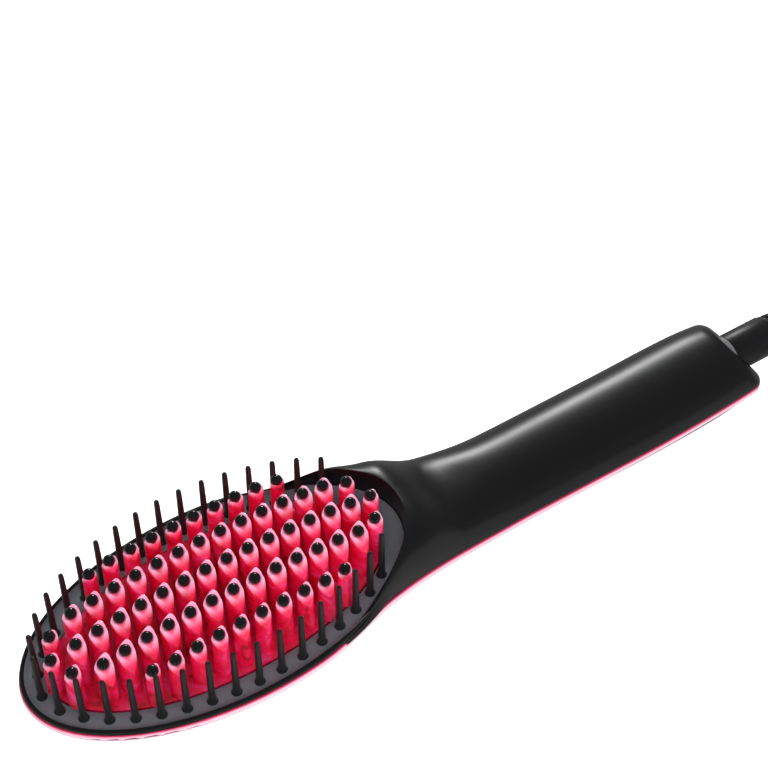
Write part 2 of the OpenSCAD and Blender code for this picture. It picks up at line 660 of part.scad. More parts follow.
// ---- swivel and cord ----
module swivel_bush() {
    color("#5f6468") placed() translate([bush_x, 0, axis_z]) difference() {
        bar_x(bush_d, bush_l);
        translate([-1, 0, 0]) bar_x(journal_d + 2 * swivel_gap, bush_l + 2);
    }
}
module swivel_collar() {
    color("#111214") placed() translate([bush_x - 0.2, 0, axis_z]) difference() {
        union() {
            translate([-flange_t, 0, 0]) bar_x(journal_d + 2.4, flange_t);
            bar_x(journal_d, bush_l + 1);
            translate([bush_l + 0.4, 0, 0]) bar_x(collar_d, collar_end - bush_x - bush_l - 0.2);
        }
        translate([-flange_t - 1, 0, 0]) bar_x(cord_d + 0.4, collar_end - bush_x + flange_t + 3);
        translate([collar_end - bush_x - 5.8, 0, 0]) bar_x(collar_d - 3.8, 10);
    }
}
relief_ribs = 14;
module strain_relief() {
    r0 = collar_d / 2 - 0.3;
    r1 = cord_d / 2 + 1.3;
    l = relief_l;
    step = l / relief_ribs;
    color("#131416") placed() translate([collar_end, 0, axis_z]) rotate([0, 90, 0])
        rotate_extrude($fn = 32) polygon(concat(
            [[cord_d / 2 + 0.1, -5.5], [collar_d / 2 - 2, -5.5], [collar_d / 2 - 2, 0.02]],
            [for (i = [0:relief_ribs - 1]) let (a = mix(r0, r1, i / relief_ribs), z = i * step)
                each [[a, z + 0.02 + step * 0.04], [a - 0.15, z + step * 0.58], [a - 1, z + step * 0.66],
                    [a - 1.05, z + step * 0.94]]],
            [[r1 - 0.2, l - 0.02], [cord_d / 2 + 0.1, l]]));
}

// Tube along points, cut square at both ends
function unit(v) = v / norm(v);
function tube_ring(path, i, d, n) =
    let (k = len(path), t = unit(path[min(i + 1, k - 1)] - path[max(i - 1, 0)]),
        u = unit(cross(t, [0, 0, 1])), w = cross(u, t))
    [for (j = [0:n - 1]) path[i] + (u * cos(j * 360 / n) + w * sin(j * 360 / n)) * d / 2];
module tube(path, d, n) {
    k = len(path);
    polyhedron(points = [for (i = [0:k - 1]) each tube_ring(path, i, d, n)],
        faces = concat(
            [for (i = [0:k - 2], j = [0:n - 1])
                each quad(i * n + j, i * n + (j + 1) % n, (i + 1) * n + (j + 1) % n, (i + 1) * n + j)],
            [for (j = [1:n - 2]) [0, j + 1, j]],
            [for (j = [1:n - 2]) [(k - 1) * n, (k - 1) * n + j, (k - 1) * n + j + 1]]),
        convexity = 10);
}

// The wound cord, in millimetres from the origin
coil_mid = [277, -8];
coil_r = 33;
coil_pitch = 6.2;
coil_base = 4;
coil_turns = 7.5;
function coil_layer(u) = floor(u / 2);
function coil_side(u) = let (s = u - 2 * coil_layer(u)) coil_layer(u) % 2 == 0 ? 1 - s : s - 1;
function coil_climb(u) =
    let (c = [for (m = [2, 4, 6]) min(max((u - m + 0.25) / 0.5, 0), 1)]) c[0] + c[1] + c[2];
function coil_point(u) =
    let (r = coil_r + coil_pitch * coil_side(u), a = 90 - 360 * u)
    [coil_mid[0] + r * cos(a), coil_mid[1] + r * sin(a), coil_base + coil_pitch * coil_climb(u)];
coil_path = [for (i = [0:coil_turns * 24]) coil_point(i / 24)];
lead_path = [[174.5, 0, 19.25], [180, 0, 19.25], [186, 0.3, 19], [193, 1.5, 18.2], [201, 4, 16.6],
    [210, 8, 14.2], [219, 13, 11.4], [228, 18.2, 8.8], [237, 22.8, 6.6], [246, 26.6, 5.1], [255, 29.3, 4.3],
    [264, 30.8, 4], [271, 31.2, 4], [277, 31.2, 4]];
tail_path = [[277, -44.1, 22.6], [271, -44.1, 22.6], [264, -44.2, 22.1], [257, -44.4, 20.6],
    [250, -44.6, 18.2], [243, -44.8, 15.2], [236, -44.9, 12.2], [229, -44.7, 9.6], [222, -44.4, 7.9],
    [216, -44.7, 7.4], [210, -45, 7.4]];
lead_start = [relief_end - mid_x, 0, body_depth + axis_z];
function length_of(path) = norm_sum(path, 0);
function norm_sum(path, i) = i >= len(path) - 1 ? 0 : norm(path[i + 1] - path[i]) + norm_sum(path, i + 1);
coil_self_gap = min([for (i = [0:2:len(coil_path) - 1], j = [0:len(coil_path) - 1])
    if (j - i > 12) norm(coil_path[i] - coil_path[j])]) - cord_d;
echo(coil_self_gap = coil_self_gap);
echo(cord_length = length_of(lead_path) + length_of(coil_path) + length_of(tail_path));
module cord_lead() {
    color("#101113") tube(concat([lead_start], [for (i = [1:len(lead_path) - 1]) lead_path[i]]), cord_d, 8);
}
module cord_coil() {
    color("#101113") tube(coil_path, cord_d, 6);
}
module cord_tail() {
    color("#101113") tube(tail_path, cord_d, 8);
}
// Bands round the bundle at two places
tie_w = 8;
tie_in = [coil_r - coil_pitch - cord_d / 2 - 0.4, coil_r + coil_pitch + cord_d / 2 + 0.4];
module cord_ties() {
    z0 = coil_base - cord_d / 2 - 0.2;
    h = 3 * coil_pitch + cord_d + 0.4;
    w = tie_in[1] - tie_in[0];
    color("#202124") for (a = [0, 180]) translate([coil_mid[0], coil_mid[1], 0]) rotate([0, 0, a])
        translate([tie_in[0], tie_w / 2, z0]) rotate([90, 0, 0]) linear_extrude(tie_w) difference() {
            translate([-1, -1]) square([w + 2, h + 2]);
            square([w, h]);
        }
}
plug_x = 210;
plug_y = -45;
plug_z = 7.4;
plug_turn = 3;
plug_l = 34;
plug_w = 35.3;
plug_pin_d = 4;
plug_tail_d = 3;
plug_pin_l = 19;
plug_pin_c = 18.6;
module plug_body() {
    color("#141517") translate([plug_x, plug_y, plug_z]) rotate([0, 0, plug_turn]) {
        difference() {
            translate([-plug_l - 18, 0, -6.85]) linear_extrude(13.7)
                polygon([[0, -plug_w / 2 + 2], [2, -plug_w / 2], [12, -plug_w / 2], [26, -11], [plug_l, -7],
                    [plug_l, 7], [26, 11], [12, plug_w / 2], [2, plug_w / 2], [0, plug_w / 2 - 2]]);
            for (s = [-1, 1])
                translate([-plug_l - 19, s * plug_pin_c / 2, 0]) bar_x(plug_tail_d, 9);
        }
        translate([-18.5, 0, 0]) rotate([0, 90, 0]) rotate_extrude($fn = 24)
            polygon(concat([[0, 0]], [for (i = [0:5]) let (r = 5.6 - 0.4 * i)
                each [[r, 3 * i], [r, 3 * i + 2], [r - 1, 3 * i + 2.2], [r - 1, 3 * i + 3]]], [[0, 18.5]]));
    }
}
module plug_pins() {
    color("#c9ccd0") translate([plug_x, plug_y, plug_z]) rotate([0, 0, plug_turn]) for (s = [-1, 1])
        translate([-plug_l - 18, s * plug_pin_c / 2, 0]) {
            translate([-plug_pin_l, 0, 0]) bar_x(plug_pin_d, plug_pin_l);
            bar_x(plug_tail_d, 8);
        }
}

front_shell();
back_shell();
trim_band();
pin_frame();
cool_pins();
heating_plate();
heating_studs();
tip_beads();
heater_elements();
heater_straps();
strap_screws();
thermistor();
thermal_fuse();
heater_leads();
shell_screws();
control_panel();
display_window();
lcd_module();
circuit_board();
tact_switches();
power_relay();
supply_capacitor();
board_screws();
plus_button();
minus_button();
power_button();
led_lens();
mains_leads();
swivel_bush();
swivel_collar();
strain_relief();
cord_lead();
cord_coil();
cord_tail();
cord_ties();
plug_body();
plug_pins();
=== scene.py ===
import math
import bpy
from mathutils import Matrix, Vector


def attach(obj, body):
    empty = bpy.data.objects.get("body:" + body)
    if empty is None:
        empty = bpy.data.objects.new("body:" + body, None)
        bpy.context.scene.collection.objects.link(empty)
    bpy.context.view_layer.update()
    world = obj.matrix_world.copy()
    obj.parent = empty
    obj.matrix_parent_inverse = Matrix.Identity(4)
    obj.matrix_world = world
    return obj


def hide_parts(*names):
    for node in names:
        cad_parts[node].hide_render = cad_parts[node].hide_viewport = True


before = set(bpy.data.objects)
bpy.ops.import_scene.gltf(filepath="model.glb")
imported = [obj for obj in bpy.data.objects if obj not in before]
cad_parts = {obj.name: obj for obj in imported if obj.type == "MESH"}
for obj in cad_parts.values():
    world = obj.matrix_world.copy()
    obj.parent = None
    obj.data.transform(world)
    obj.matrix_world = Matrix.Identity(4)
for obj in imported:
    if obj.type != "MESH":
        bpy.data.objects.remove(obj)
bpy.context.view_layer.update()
shift = Vector((-101.5, 0, 28))        # from the middle of the pin face to the frame's origin, mm
ops = bpy.ops


# camera at the photograph's angle, distances in mm
view = {"turn": -33.0, "height": 49.5, "roll": 0.2, "away": 632.0, "left": -53.0, "down": -71.9, "lens": 90,
        "sensor": 36, "near": 0.01}


def turned(degrees, axis):
    return Matrix.Rotation(math.radians(degrees), 3, axis)


turn = turned(view["turn"], "Z") @ turned(90 - view["height"], "X") @ turned(view["roll"], "Z")
spot = turn @ Vector((-view["left"], -view["down"], view["away"])) + shift
ops.object.camera_add(location=spot / 1000)
camera = bpy.context.object
camera.rotation_euler = turn.to_euler()
camera.data.lens = view["lens"]
camera.data.sensor_width = view["sensor"]
camera.data.clip_start = view["near"]
bpy.context.scene.camera = camera
bpy.context.scene.view_settings.view_transform = "Standard"


# materials
def newMaterial(name, colour, rough, **more):
    mat = bpy.data.materials.new(name)
    mat.use_nodes = True
    shader = mat.node_tree.nodes["Principled BSDF"]
    shader.inputs["Base Color"].default_value = (*colour, 1)
    shader.inputs["Roughness"].default_value = rough
    for key, value in more.items():
        shader.inputs[key.replace("_", " ")].default_value = value
    mat.diffuse_color = (*colour, 1)
    return mat, mat.node_tree.nodes, mat.node_tree.links, shader


def addNoise(nodes, links, place, scale, detail, distortion=0.0):
    grain = nodes.new("ShaderNodeTexNoise")
    grain.inputs["Scale"].default_value = scale
    grain.inputs["Detail"].default_value = detail
    grain.inputs["Distortion"].default_value = distortion
    links.new(place, grain.inputs["Vector"])
    return grain.outputs["Fac"]


def addBump(nodes, links, shader, scale, strength, distance=0.0001, detail=3, squeeze=(1, 1, 1)):
    place = nodes.new("ShaderNodeTexCoord").outputs["Object"]
    mapping = nodes.new("ShaderNodeMapping")
    mapping.inputs["Scale"].default_value = squeeze
    links.new(place, mapping.inputs["Vector"])
    bump = nodes.new("ShaderNodeBump")
    bump.inputs["Strength"].default_value = strength
    bump.inputs["Distance"].default_value = distance
    links.new(addNoise(nodes, links, mapping.outputs["Vector"], scale, detail), bump.inputs["Height"])
    links.new(bump.outputs["Normal"], shader.inputs["Normal"])
    return place


def addRange(nodes, links, source, low, high, last=1.0):
    spread = nodes.new("ShaderNodeMapRange")
    spread.inputs["From Max"].default_value = last
    spread.inputs["To Min"].default_value = low
    spread.inputs["To Max"].default_value = high
    links.new(source, spread.inputs["Value"])
    return spread.outputs["Result"]


def addRamp(nodes, links, source, stops):
    ramp = nodes.new("ShaderNodeValToRGB")
    marks = ramp.color_ramp.elements
    marks[0].position, marks[0].color = stops[0][0], (*stops[0][1], 1)
    marks[1].position, marks[1].color = stops[-1][0], (*stops[-1][1], 1)
    for at, colour in stops[1:-1]:
        marks.new(at).color = (*colour, 1)
    links.new(source, ramp.inputs["Fac"])
    return ramp.outputs["Color"]


satin = {"grainDepth": 0.00005, "cloudScale": 60, "cloudDetail": 4, "smoother": 0.03, "rougher": 0.04}


def satinPlastic(name, colour, rough, grainScale=2600, strength=0.12):
    # fine grain, and a gloss that wanders a little
    mat, nodes, links, shader = newMaterial(name, colour, rough)
    place = addBump(nodes, links, shader, grainScale, strength, satin["grainDepth"])
    clouds = addNoise(nodes, links, place, satin["cloudScale"], satin["cloudDetail"])
    gloss = addRange(nodes, links, clouds, rough - satin["smoother"], rough + satin["rougher"])
    links.new(gloss, shader.inputs["Roughness"])
    return mat


def polished(name, colour, rough, grainScale, strength, **more):
    mat, nodes, links, shader = newMaterial(name, colour, rough, **more)
    addBump(nodes, links, shader, grainScale, strength)
    return mat


casingBlack = satinPlastic("casingBlack", (0.005, 0.005, 0.0058), 0.33)
frameGrey = satinPlastic("frameGrey", (0.105, 0.122, 0.138), 0.42, 2000, 0.2)
pinGrey = satinPlastic("pinGrey", (0.012, 0.0125, 0.013), 0.36, 1800, 0.15)
keyBlack = satinPlastic("keyBlack", (0.006, 0.006, 0.007), 0.5, 2200, 0.15)
reliefBlack = satinPlastic("reliefBlack", (0.006, 0.006, 0.007), 0.4, 1500, 0.2)
cordBlack = satinPlastic("cordBlack", (0.009, 0.009, 0.01), 0.5, 1500, 0.2)
plugBlack = satinPlastic("plugBlack", (0.01, 0.01, 0.011), 0.45, 1500, 0.2)
print("camera and plastics ready")


# glossy pink band, pale pink in the middle, with painted shade at both edges: a dark and crimson upper edge and a
# dark lower one
bandPaint = {"colour": (0.85, 0.2, 0.32), "rough": 0.22, "grain": 900, "strength": 0.05, "depth": 0.00003,
             "stops": [(0.0, (0.08, 0.002, 0.012)), (0.2, (0.5, 0.015, 0.08)), (0.36, (0.86, 0.3, 0.44)),
                       (0.6, (0.95, 0.6, 0.7)), (0.86, (0.9, 0.52, 0.62)), (0.95, (0.2, 0.012, 0.04)),
                       (1.0, (0.02, 0.001, 0.004))]}


def makeBandPink():
    mat, nodes, links, shader = newMaterial("bandPink", bandPaint["colour"], bandPaint["rough"],
                                            Coat_Weight=0.5, Coat_Roughness=0.08)
    edge = nodes.new("ShaderNodeAttribute")
    edge.attribute_name = "acrossBand"
    # the ramp across the band paints shade: dark and crimson along the upper edge, dark along the lower edge
    colour = addRamp(nodes, links, edge.outputs["Fac"], bandPaint["stops"])
    links.new(colour, shader.inputs["Base Color"])
    addBump(nodes, links, shader, bandPaint["grain"], bandPaint["strength"], bandPaint["depth"])
    return mat


# marbled ceramic coating of the studs and the plate
ceramic = {"scale": 110, "detail": 5, "swirl": 1.6, "pale": (0.96, 0.36, 0.54), "plateShare": 0.6,
           "stops": [(0.28, (0.4, 0.003, 0.02)), (0.42, (0.85, 0.006, 0.045)), (0.56, (0.95, 0.012, 0.1)),
                     (0.72, (0.98, 0.06, 0.24))]}


def makeMarbled(name, stops, rough, pale=None):
    mat, nodes, links, shader = newMaterial(name, stops[1][1], rough, Coat_Weight=0.6, Coat_Roughness=0.06)
    place = nodes.new("ShaderNodeTexCoord").outputs["Object"]
    swirl = addNoise(nodes, links, place, ceramic["scale"], ceramic["detail"], ceramic["swirl"])
    colour = addRamp(nodes, links, swirl, stops)
    if pale:                           # paler where the facet round the bead catches the light
        where = nodes.new("ShaderNodeAttribute")
        where.attribute_name = "facet"
        blend = nodes.new("ShaderNodeMix")
        blend.data_type = "RGBA"
        blend.inputs["B"].default_value = (*pale, 1)
        links.new(where.outputs["Fac"], blend.inputs["Factor"])
        links.new(colour, blend.inputs["A"])
        colour = blend.outputs["Result"]
    links.new(colour, shader.inputs["Base Color"])
    return mat


bandPink = makeBandPink()
studRed = makeMarbled("studRed", ceramic["stops"], 0.16, ceramic["pale"])
plateStops = [(at, tuple(ceramic["plateShare"] * c for c in colour)) for at, colour in ceramic["stops"]]
plateRed = makeMarbled("plateRed", plateStops, 0.2)
beadBlack = polished("beadBlack", (0.004, 0.0045, 0.005), 0.16, 700, 0.03, Coat_Weight=0.4)


# brushed panel, dark at the head's end and bright at the power key
panelPaint = {"colour": (0.2, 0.21, 0.22), "rough": 0.3, "metal": 0.75, "brightX": 0.08, "grain": 900,
              "strength": 0.06, "depth": 0.00003, "detail": 2, "brushed": (1, 14, 14),
              "stops": [(0.0, (0.045, 0.05, 0.056)), (1.0, (0.5, 0.52, 0.53))]}


def makePanelSilver():
    mat, nodes, links, shader = newMaterial("panelSilver", panelPaint["colour"], panelPaint["rough"],
                                            Metallic=panelPaint["metal"])
    place = addBump(nodes, links, shader, panelPaint["grain"], panelPaint["strength"], panelPaint["depth"],
                    panelPaint["detail"], panelPaint["brushed"])
    cut = nodes.new("ShaderNodeSeparateXYZ")
    links.new(place, cut.inputs["Vector"])
    along = addRange(nodes, links, cut.outputs["X"], 0.0, 1.0, panelPaint["brightX"])
    links.new(addRamp(nodes, links, along, panelPaint["stops"]), shader.inputs["Base Color"])
    return mat


panelSilver = makePanelSilver()
screenWhite = polished("screenWhite", (0.62, 0.66, 0.66), 0.12, 200, 0.02, Coat_Weight=0.6)
innerSteel = polished("innerSteel", (0.45, 0.45, 0.46), 0.35, 1200, 0.08, Metallic=1.0)
boardGreen = satinPlastic("boardGreen", (0.02, 0.13, 0.05), 0.4)
partGrey = satinPlastic("partGrey", (0.12, 0.12, 0.125), 0.5)
partWhite = satinPlastic("partWhite", (0.6, 0.58, 0.53), 0.5)
partBlue = satinPlastic("partBlue", (0.02, 0.05, 0.2), 0.35)
ceramicTan = satinPlastic("ceramicTan", (0.5, 0.42, 0.32), 0.6, 1400, 0.3)
wireCream = satinPlastic("wireCream", (0.5, 0.46, 0.38), 0.5)
lensClear = newMaterial("lensClear", (0.75, 0.8, 0.82), 0.08, Transmission_Weight=0.4)[0]
pinNickel = polished("pinNickel", (0.6, 0.6, 0.6), 0.22, 900, 0.05, Metallic=1.0)
print("coatings ready")


# mesh helpers
def deselect():
    if bpy.context.object and bpy.context.object.mode != "OBJECT":
        ops.object.mode_set(mode="OBJECT")
    ops.object.select_all(action="DESELECT")


def pick(*pieces):
    deselect()
    for piece in pieces:
        piece.select_set(True)
    bpy.context.view_layer.objects.active = pieces[0]


def gridPiece(name, rows):
    # a grid primitive pulled to its place row by row; rows hold points in mm from the middle of the pin face
    deselect()
    ops.mesh.primitive_grid_add(x_subdivisions=len(rows[0]) - 1, y_subdivisions=len(rows) - 1, size=1)
    piece = bpy.context.object
    piece.name = name
    count = len(rows[0])
    for i, row in enumerate(rows):
        for j, point in enumerate(row):
            piece.data.vertices[i * count + j].co = (Vector(point) + shift) / 1000
    return piece


def joined(name, pieces, merge=0.00002):
    pick(*pieces)
    if len(pieces) > 1:
        ops.object.join()
    piece = bpy.context.object
    piece.name = name
    ops.object.mode_set(mode="EDIT")
    ops.mesh.select_all(action="SELECT")
    ops.mesh.remove_doubles(threshold=merge)
    ops.mesh.normals_make_consistent(inside=False)
    ops.object.mode_set(mode="OBJECT")
    return piece


def applyAll(piece):
    pick(piece)
    for mod in list(piece.modifiers):
        ops.object.modifier_apply(modifier=mod.name)


def addWall(piece, thick):
    wall = piece.modifiers.new("wall", "SOLIDIFY")
    wall.thickness = thick / 1000
    wall.offset = -1


def finishPiece(piece, body, material, smooth=35, nodes=()):
    pick(piece)
    ops.object.transform_apply(location=True, rotation=True, scale=True)
    ops.object.shade_smooth_by_angle(angle=math.radians(smooth))
    piece.data.materials.clear()
    piece.data.materials.append(material)
    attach(piece, body)
    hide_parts(*nodes)
    return piece


def mix(a, b, t):
    return a + (b - a) * t


def ease(x, a, b):
    t = min(max((x - a) / (b - a), 0), 1)
    return t * t * (3 - 2 * t)


def curve(x, a, b, va, vb, sa, sb):
    # from va at a to vb at b, with the slopes sa and sb
    t = (x - a) / (b - a)
    span = b - a
    return ((2 * t**3 - 3 * t**2 + 1) * va + (t**3 - 2 * t**2 + t) * span * sa
            + (3 * t**2 - 2 * t**3) * vb + (t**3 - t**2) * span * sb)


# outline of the body seen from the pin side, in mm
body = {"headHalf": 71.3, "sideHalf": 38.2, "joinX": 16, "shoulderX": 48, "shoulderShare": 0.45,
        "shoulderSlope": -0.3, "neckX": 113.3, "neck": 18.4, "grip": 18.6, "end": 16.5, "endSlope": -0.13,
        "reach": 220, "endRound": 5, "openA": 68.8, "openB": 37, "openX": -1.3}


def cornerAt(x):
    d = x - body["reach"] + body["endRound"]
    return 0 if d <= 0 else body["endRound"] - math.sqrt(max(0, body["endRound"] ** 2 - d * d))


def sideAt(x):
    a, b = body["headHalf"], body["sideHalf"]
    joinX, shoulderX, neckX = body["joinX"], body["shoulderX"], body["neckX"]
    gripX = (neckX + body["reach"]) / 2
    shoulder = mix(body["neck"], b, body["shoulderShare"])
    slope = body["shoulderSlope"]
    oval = b * math.sqrt(max(0, 1 - (min(x, joinX) / a) ** 2))
    if x <= joinX:
        wide = oval
    elif x <= shoulderX:
        wide = curve(x, joinX, shoulderX, oval, shoulder, -b * b * joinX / (a * a * oval), slope)
    elif x <= neckX:
        wide = curve(x, shoulderX, neckX, shoulder, body["neck"], slope, 0)
    elif x <= gripX:
        wide = curve(x, neckX, gripX, body["neck"], body["grip"], 0, 0)
    else:
        wide = curve(x, gripX, body["reach"], body["grip"], body["end"], 0, body["endSlope"])
    return wide - cornerAt(x)


# seam between the shells, and the trim band that hangs from it
seam = {"head": 0.9, "drop": 12.8, "dropping": (14, 106), "lift": 1.4, "lifting": (160, 205)}
band = {"head": 3.0, "grip": 3.6, "growing": (40, 110), "flare": 0.5, "fading": (50, 95), "bulge": 0.3,
        "gap": 0.04}


def seamAt(x):
    return seam["head"] - seam["drop"] * ease(x, *seam["dropping"]) + seam["lift"] * ease(x, *seam["lifting"])


def bandAt(x):
    return mix(band["head"], band["grip"], ease(x, *band["growing"]))


def flareAt(x):
    return band["flare"] * (1 - ease(x, *band["fading"]))


# middle line of the front and how boxy its section is, from the head to the handle
front = {"rimTop": 2.6, "lip": 12.6, "lipX": 66.0, "riseBefore": (34, 8), "steep": 21, "steepShare": 0.78,
         "gentle": 59, "gentleShare": 0.22, "grip": 1.2, "lifting": (165, 212), "cornerDip": 0.2,
         "powers": (7, 3.4, 2.15), "boxyX": (40, 66, 112), "endLean": 9, "endZone": 25}


def riseAt(x, c, p):
    e = x / body["headHalf"] if x < 0 else 0
    r = math.sqrt(min(1, e * e + (1 - e * e) * c * c))
    return max(0, 1 - r**p) ** (1 / p)


def topAt(x):
    lipX, lip = front["lipX"], front["lip"]
    if x < lipX:
        high = mix(front["rimTop"], lip, ease(x, lipX - front["riseBefore"][0], lipX - front["riseBefore"][1]))
    else:
        fall = (front["steepShare"] * (1 - ease(x, lipX, lipX + front["steep"]))
                + front["gentleShare"] * (1 - ease(x, lipX, lipX + front["gentle"])))
        high = mix(front["grip"], lip, fall) + ease(x, *front["lifting"])
    return high - front["cornerDip"] * cornerAt(x)


def frontPower(x):
    head, lip, grip = front["powers"]
    a, b, c = front["boxyX"]
    return mix(head, lip, ease(x, a, b)) if x < b else mix(lip, grip, ease(x, b, c))


def frontPoint(x, y):
    wide = max(sideAt(x), 0.01)
    s = riseAt(x, max(-1, min(1, y / wide)), frontPower(x))
    lean = front["endLean"] * ease(x, body["reach"] - front["endZone"], body["reach"])
    return x - lean * s, y, seamAt(x) + (topAt(x) - seamAt(x)) * s


# underside of the back, and its section
back = {"depth": 28, "headSag": 0.9, "neckLift": 3, "gripSag": 0.2, "endLift": 8, "endSlope": 0.8,
        "marks": (5, 95, 196), "power": 1.55, "stepIn": 0.8, "spare": 4, "deepening": (70, 110), "endZone": 20,
        "endLean": 3, "leaning": 205, "wall": 1.6, "steps": 60}


def bottomAt(x):
    deep = back["depth"]
    flatX, neckX, gripX = back["marks"]
    if x <= flatX:
        return -deep - back["headSag"]
    if x <= neckX:
        return curve(x, flatX, neckX, -deep - back["headSag"], back["neckLift"] - deep, 0, 0)
    if x <= gripX:
        return curve(x, neckX, gripX, back["neckLift"] - deep, -deep - back["gripSag"], 0, 0)
    return curve(x, gripX, body["reach"], -deep - back["gripSag"], back["endLift"] - deep, 0, back["endSlope"])


def backPoint(x, angle):
    p, step, zone = back["power"], back["stepIn"], back["endZone"]
    c = math.copysign(abs(math.cos(angle)) ** (2 / p), math.cos(angle))
    s = riseAt(x, c, p)
    wide = sideAt(x) * (1 - step / body["sideHalf"]) if x < 0 else max(sideAt(x) - step, 0.01)
    u = x * (1 - step / body["headHalf"]) if x < 0 else x
    if x > body["reach"] - zone:
        u = body["reach"] - zone + (x - body["reach"] + zone) * (zone - step) / zone
    deep = seamAt(x) - bandAt(x) - bottomAt(x) + back["spare"] * ease(x, *back["deepening"])
    z = max(max(bottomAt(x), -back["depth"]), seamAt(u) - bandAt(u) - deep * s)
    return u - back["endLean"] * s * ease(x, back["leaning"], body["reach"]), wide * c, z


print("body sizes ready")


# stations along the body: close together at the tip and at the end
stations = {"tipTurns": (0.01, 1.5, 3, 5, 8, 11, 14, 18, 22, 27, 32, 38, 44, 50, 56, 62, 68, 74, 80, 85),
            "gap": 4, "ends": [200, 203, 206, 209, 212, 214, 215.5, 217, 218, 218.8, 219.4, 219.8, 220]}


def stationsAlong():
    tip = [-body["headHalf"] * math.cos(math.radians(a)) for a in stations["tipTurns"]]
    middle = range(0, stations["ends"][0], stations["gap"])
    return tip + list(middle) + stations["ends"]


# front shell: two halves from the seam up to the opening or the middle line, and the opening's wall
frontShape = {"across": 20, "crowd": 1.25, "turnStep": 3, "lipOut": 1.3, "lipReach": 15.2, "lipPower": 4,
              "lipEnd": 84, "swell": 0.9,
              "neckSteps": [86, 88, 90, 93, 96, 100], "middleX": 67.5, "middleStretch": 1.6, "wallFoot": -1.2,
              "wall": 1.6, "round": 0.45}


def ovalPoint(t):
    return body["openX"] + body["openA"] * math.cos(t), body["openB"] * math.sin(t)


def frontHalf(side):
    outline = []
    for a in range(180, -1, -frontShape["turnStep"]):        # head: from the tip round to the lip's middle
        t = math.radians(a)
        inner = ovalPoint(t)
        if t > math.pi / 2:
            x = -body["headHalf"] * abs(math.cos(t))
        else:
            x = inner[0] + frontShape["lipOut"] + frontShape["lipReach"] * math.cos(t) ** frontShape["lipPower"]
        outline.append((x, inner))
    lipEnd, neckSteps = frontShape["lipEnd"], frontShape["neckSteps"]
    handle = list(range(neckSteps[-1] + stations["gap"], stations["ends"][0], stations["gap"])) + stations["ends"]
    for x in neckSteps + handle:                             # neck and handle: in to the middle line
        middle = frontShape["middleX"] + (x - lipEnd) * frontShape["middleStretch"]
        outline.append((x, (mix(middle, x, ease(x, lipEnd, neckSteps[-1])), 0)))
    rows = []
    steps = frontShape["across"]
    for x, inner in outline:
        wide = sideAt(max(x, -body["headHalf"]))
        row = []
        for j in range(steps + 1):
            k = j / steps
            if inner[1] > 0 or x < lipEnd:
                k = k ** frontShape["crowd"]
            else:
                k = 1 - math.cos(k * math.pi / 2) ** frontShape["swell"]
            px, py, pz = frontPoint(mix(x, inner[0], k), mix(wide, inner[1], k))
            row.append((px, side * py, pz))
        rows.append(row)
    return rows


def openingWall():
    rim = []
    for a in range(180, -181, -frontShape["turnStep"]):
        x, y = ovalPoint(math.radians(a))
        rim.append((x, y, frontPoint(x, abs(y))[2]))
    return [rim, [(x, y, frontShape["wallFoot"]) for x, y, z in rim]]


collarHole = {"z": -8.75, "radius": 7.9}


def endWall(points, side):
    # flat ring between the handle's end and the collar's hole
    z0, radius = collarHole["z"], collarHole["radius"]
    first, middle = points[0], points[len(points) // 2]
    start = math.asin((first[2] - z0) / radius)
    hole = []
    for j in range(len(points)):
        t = mix(start, math.copysign(math.pi, side) - start, j / (len(points) - 1))
        z = z0 + radius * math.sin(t)
        x = mix(first[0], middle[0], (z - first[2]) / (middle[2] - first[2]))
        hole.append(Vector((x, radius * math.cos(t), z)))
    return [[tuple(Vector(p).lerp(q, k)) for p, q in zip(points, hole)] for k in (0, 0.5, 1)]


frontLeft, frontRight = frontHalf(1), frontHalf(-1)
frontEnd = frontLeft[-1] + list(reversed(frontRight[-1]))[1:]
frontShell = joined("frontShell", [gridPiece("frontLeft", frontLeft), gridPiece("frontRight", frontRight),
                                   gridPiece("openingWall", openingWall()),
                                   gridPiece("frontEnd", endWall(frontEnd, 1))])
addWall(frontShell, frontShape["wall"])
edges = frontShell.modifiers.new("edges", "BEVEL")
edges.width, edges.segments, edges.angle_limit = frontShape["round"] / 1000, 3, math.radians(40)
applyAll(frontShell)
finishPiece(frontShell, "brush", casingBlack, 40, ["front_shell"])
print("front shell ready")


# back shell: one loft from the tip to the end
backTurns = [math.pi * j / back["steps"] for j in range(back["steps"] + 1)]
backSkin = [[backPoint(x, angle) for angle in backTurns] for x in stationsAlong()]
backShell = joined("backShell", [gridPiece("backSkin", backSkin),
                                 gridPiece("backEnd", endWall(backSkin[-1], -1))])
addWall(backShell, back["wall"])
applyAll(backShell)
finishPiece(backShell, "brush", casingBlack, 40, ["back_shell"])
print("back shell ready")


# trim band: a bead that follows the seam and flares out round the head; out, down and place in the colours, whose
# two ends are painted shade
bandShape = [(-1.3, 0.02, 0), (0, 0, 0), (0.55, 0.12, 0.12), (0.9, 0.3, 0.3), (1.0, 0.5, 0.5), (0.9, 0.7, 0.7),
             (0.55, 0.88, 0.88), (0, 1, 1), (-1.3, 0.98, 1)]


def bandRows():
    line = [(x, sideAt(x)) for x in reversed(stationsAlong())]
    line += [(x, -y) for x, y in reversed(line)]
    rows = []
    for i, (x, y) in enumerate(line):
        a, b = Vector(line[max(i - 1, 0)]), Vector(line[min(i + 1, len(line) - 1)])
        along = (b - a).normalized()
        high, flare = bandAt(x), flareAt(x)
        row = []
        for out, down, tint in bandShape:
            push = out * band["bulge"] + flare * down if out >= 0 else out
            z = seamAt(x) - band["gap"] - (high - 2 * band["gap"]) * down
            row.append((x + along.y * push, y - along.x * push, z))
        rows.append(row)
    return rows


